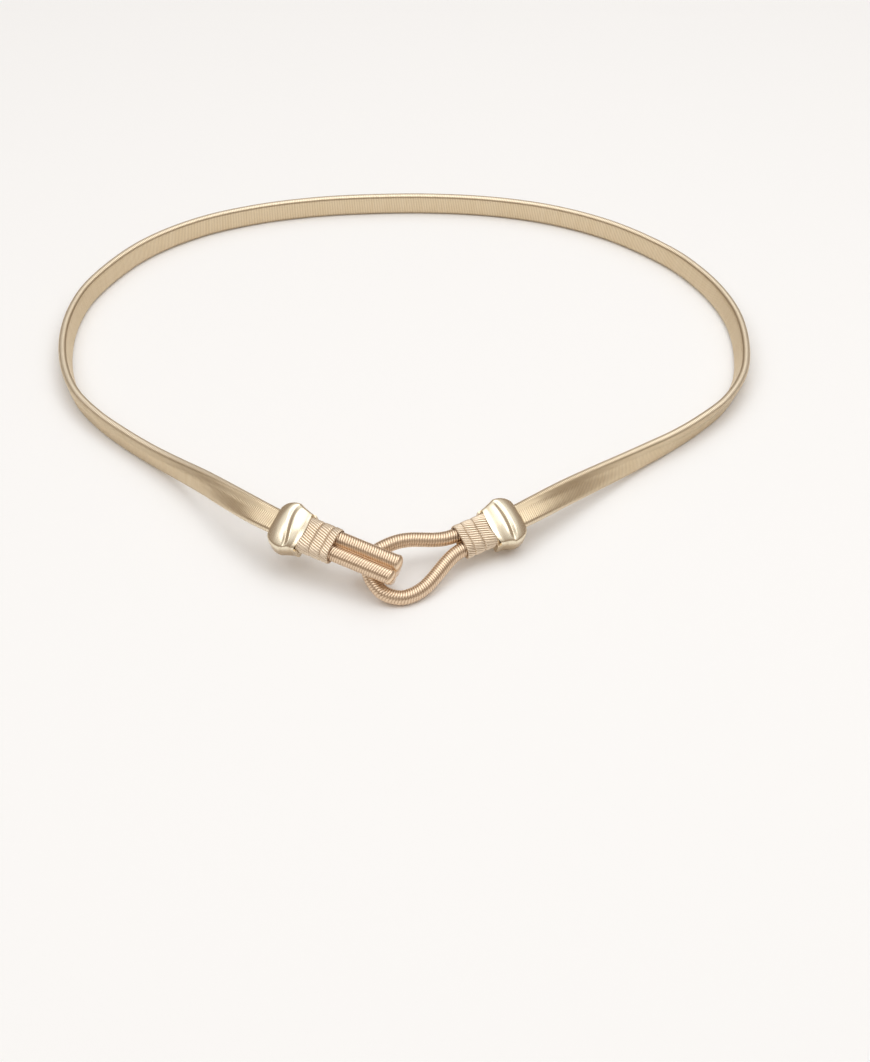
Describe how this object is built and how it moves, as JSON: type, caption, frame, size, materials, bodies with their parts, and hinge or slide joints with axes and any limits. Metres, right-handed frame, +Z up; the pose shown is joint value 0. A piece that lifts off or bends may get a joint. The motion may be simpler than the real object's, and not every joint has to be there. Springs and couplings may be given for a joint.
{
  "type": "knot belt",
  "caption": "Stretch waist belt of flattened wound gold wire, closed at the front by a ribbed double hook caught in a teardrop loop, each held in a knotted sleeve and a cast end cap.",
  "frame": {"origin": "middle of the belt's outline seen from above, on the surface that it stands on", "axes": "+Z up across the band's width, +X to the viewer's right along the back of the belt, +Y from the clasp to the back"},
  "size_m": [0.2326, 0.2222, 0.0185],
  "materials": {
    "coil_wire": "satin, warm gold, fine wound ribs",
    "polished_casting": "polished, pale gold",
    "rose_casting": "polished ribs, slightly rosier gold"
  },
  "bodies": {
    "root": {"coil_band": "coil_wire", "left_end_cap": "polished_casting", "right_end_cap": "polished_casting", "left_sleeve": "rose_casting", "right_sleeve": "rose_casting", "hook": "rose_casting", "loop": "rose_casting"}
  },
  "joints": []
}
